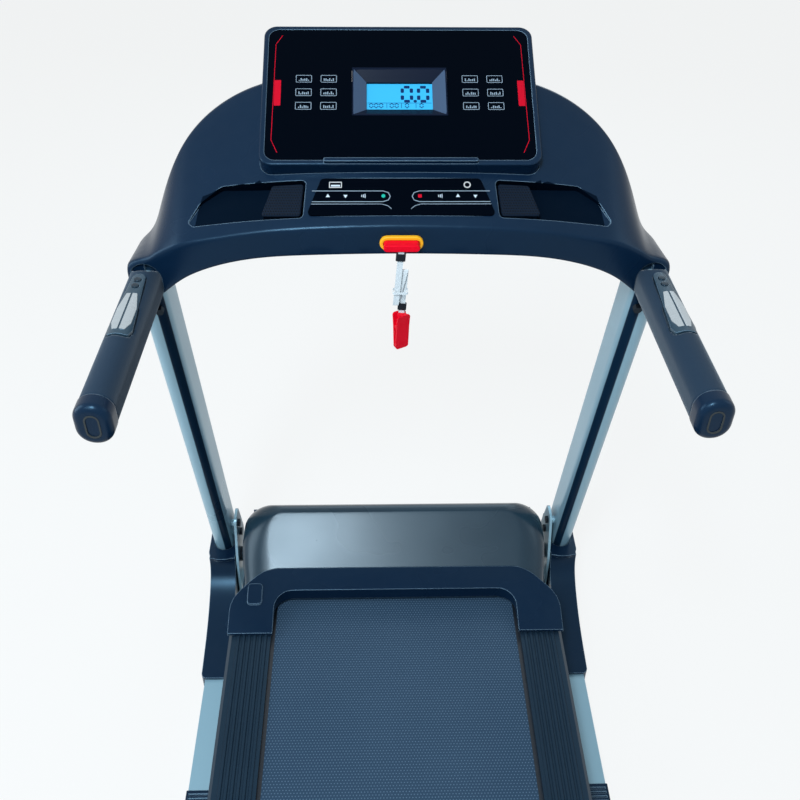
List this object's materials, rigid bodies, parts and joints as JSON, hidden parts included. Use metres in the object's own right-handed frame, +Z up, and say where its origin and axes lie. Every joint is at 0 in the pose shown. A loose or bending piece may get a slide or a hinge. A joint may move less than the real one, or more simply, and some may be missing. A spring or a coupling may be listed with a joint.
{
  "type": "folding treadmill",
  "caption": "Folding home treadmill with arched console, tilted display, trays, foam pulse handles, motor hood, running belt, ribbed foot rails, gas-spring fold and pull-out safety key.",
  "frame": {"origin": "on the floor under the middle of the bounding box", "axes": "+X to the runner's right, +Y forward towards the motor hood, +Z up"},
  "size_m": [0.765, 1.508, 1.1981],
  "materials": {
    "frame_metal": "satin",
    "deck_metal": "satin",
    "shell_plastic": "satin",
    "rail_plastic": "matte",
    "panel_gloss": "gloss",
    "bezel_blue": "gloss",
    "lcd_face": "gloss",
    "grille_black": "matte",
    "foam": "matte",
    "pulse_metal": "polished",
    "black_steel": "satin",
    "bright_steel": "brushed",
    "belt_rubber": "matte",
    "board_wood": "waxed",
    "soft_rubber": "matte",
    "socket_yellow": "satin",
    "key_red": "satin",
    "tape_white": "woven",
    "sleeve_black": "matte",
    "key_grey": "satin",
    "sink_metal": "matte",
    "inlet_black": "matte",
    "board_green": "satin"
  },
  "bodies": {
    "stand": {"base_cover_left": "shell_plastic", "base_cover_right": "shell_plastic", "base_cross_tube_front": "frame_metal", "base_cross_tube_mid": "frame_metal", "base_end_caps": "shell_plastic", "base_side_tube_left": "frame_metal", "base_side_tube_right": "frame_metal", "console_back_cover": "shell_plastic", "console_board": "board_green", "console_shell": "shell_plastic", "display_glass": "panel_gloss", "display_housing": "shell_plastic", "frame_bolts": "black_steel", "grip_end_caps": "shell_plastic", "grip_left": "foam", "grip_right": "foam", "handle_tubes": "frame_metal", "keypad_overlay": "panel_gloss", "lcd_frame": "bezel_blue", "lcd_module": "lcd_face", "pivot_brackets": "frame_metal", "pulse_housing_left": "shell_plastic", "pulse_housing_right": "shell_plastic", "pulse_plates": "pulse_metal", "safety_socket": "socket_yellow", "speaker_grilles": "grille_black", "upright_left": "frame_metal", "upright_right": "frame_metal"},
    "deck": {"deck_frame": "deck_metal", "running_board": "board_wood", "deck_rubbers": "soft_rubber", "running_belt": "belt_rubber", "foot_rail_left": "rail_plastic", "foot_rail_right": "rail_plastic", "rear_end_caps": "shell_plastic", "roller_axles": "bright_steel", "hood_cover": "shell_plastic", "hood_trim": "shell_plastic", "belly_pan": "shell_plastic", "motor_housing": "black_steel", "drive_belt": "belt_rubber", "motor_controller": "sink_metal", "power_inlet": "inlet_black"},
    "front_roller": {"front_roller": "bright_steel"},
    "rear_roller": {"rear_roller": "bright_steel"},
    "motor_rotor": {"motor_rotor": "bright_steel"},
    "transport_wheel_left": {"transport_wheel_left": "soft_rubber"},
    "transport_wheel_right": {"transport_wheel_right": "soft_rubber"},
    "quick_key_left_front": {"quick_key_left_front": "key_grey"},
    "quick_key_left_rear": {"quick_key_left_rear": "key_grey"},
    "quick_key_right_front": {"quick_key_right_front": "key_grey"},
    "quick_key_right_rear": {"quick_key_right_rear": "key_grey"},
    "safety_key": {"safety_key": "key_red", "lanyard": "tape_white", "lanyard_sleeves": "sleeve_black", "clip_front_jaw": "key_red"},
    "clip_jaw": {"clip_back_jaw": "key_red"},
    "spring_barrel": {"spring_barrel": "black_steel"},
    "spring_rod": {"spring_rod": "bright_steel"},
    "power_rocker": {"power_rocker": "inlet_black"}
  },
  "joints": [
    {"name": "deck_fold", "type": "hinge", "parent": "stand", "child": "deck", "pos_m": [0, 0.652, 0.13], "axis": [-1, 0, 0], "range_deg": [0, 65]},
    {"name": "front_roller_spin", "type": "hinge", "parent": "deck", "child": "front_roller", "pos_m": [0, 0.546, 0.1487], "axis": [1, 0, 0], "continuous": true},
    {"name": "rear_roller_spin", "type": "hinge", "parent": "deck", "child": "rear_roller", "pos_m": [0, -0.704, 0.1487], "axis": [1, 0, 0], "continuous": true},
    {"name": "motor_spin", "type": "hinge", "parent": "deck", "child": "motor_rotor", "pos_m": [0, 0.652, 0.166], "axis": [1, 0, 0], "continuous": true},
    {"name": "spring_barrel_swing", "type": "hinge", "parent": "stand", "child": "spring_barrel", "pos_m": [0, 0.546, 0.071], "axis": [-1, 0, 0], "range_deg": [0, 71.58]},
    {"name": "spring_rod_slide", "type": "slide", "parent": "spring_barrel", "child": "spring_rod", "axis": [0, -1, 0], "range_m": [0, 0.11853]},
    {"name": "safety_key_pull", "type": "slide", "parent": "stand", "child": "safety_key", "axis": [0, -1, 0], "range_m": [0, 0.03]},
    {"name": "clip_open", "type": "hinge", "parent": "safety_key", "child": "clip_jaw", "pos_m": [0.001, 0.414, 0.879], "axis": [0.8829, 0.4695, 0], "range_deg": [0, 8], "stiffness_Nm_per_rad": 0.05},
    {"name": "power_rock", "type": "hinge", "parent": "deck", "child": "power_rocker", "pos_m": [0, 0.746, 0.122], "axis": [1, 0, 0], "range_deg": [0, 12]},
    {"name": "transport_wheel_left_roll", "type": "hinge", "parent": "stand", "child": "transport_wheel_left", "pos_m": [-0.3115, 0.73, 0.024], "axis": [1, 0, 0], "continuous": true},
    {"name": "quick_key_left_front_press", "type": "slide", "parent": "stand", "child": "quick_key_left_front", "axis": [0.0007, 0.0169, -0.9999], "range_m": [0, 0.0012], "stiffness_N_per_m": 250},
    {"name": "quick_key_left_rear_press", "type": "slide", "parent": "stand", "child": "quick_key_left_rear", "axis": [0.0007, 0.0169, -0.9999], "range_m": [0, 0.0012], "stiffness_N_per_m": 250},
    {"name": "transport_wheel_right_roll", "type": "hinge", "parent": "stand", "child": "transport_wheel_right", "pos_m": [0.3115, 0.73, 0.024], "axis": [1, 0, 0], "continuous": true},
    {"name": "quick_key_right_front_press", "type": "slide", "parent": "stand", "child": "quick_key_right_front", "axis": [-0.0007, 0.0169, -0.9999], "range_m": [0, 0.0012], "stiffness_N_per_m": 250},
    {"name": "quick_key_right_rear_press", "type": "slide", "parent": "stand", "child": "quick_key_right_rear", "axis": [-0.0007, 0.0169, -0.9999], "range_m": [0, 0.0012], "stiffness_N_per_m": 250}
  ],
  "couplings": [
    {"joint": "rear_roller_spin", "follows": "front_roller_spin", "ratio": 1},
    {"joint": "motor_spin", "follows": "front_roller_spin", "ratio": 2.5},
    {"joint": "spring_barrel_swing", "follows": "deck_fold", "ratio": 1.0981},
    {"joint": "spring_rod_slide", "follows": "deck_fold", "m_per_rad": 0.10413}
  ]
}
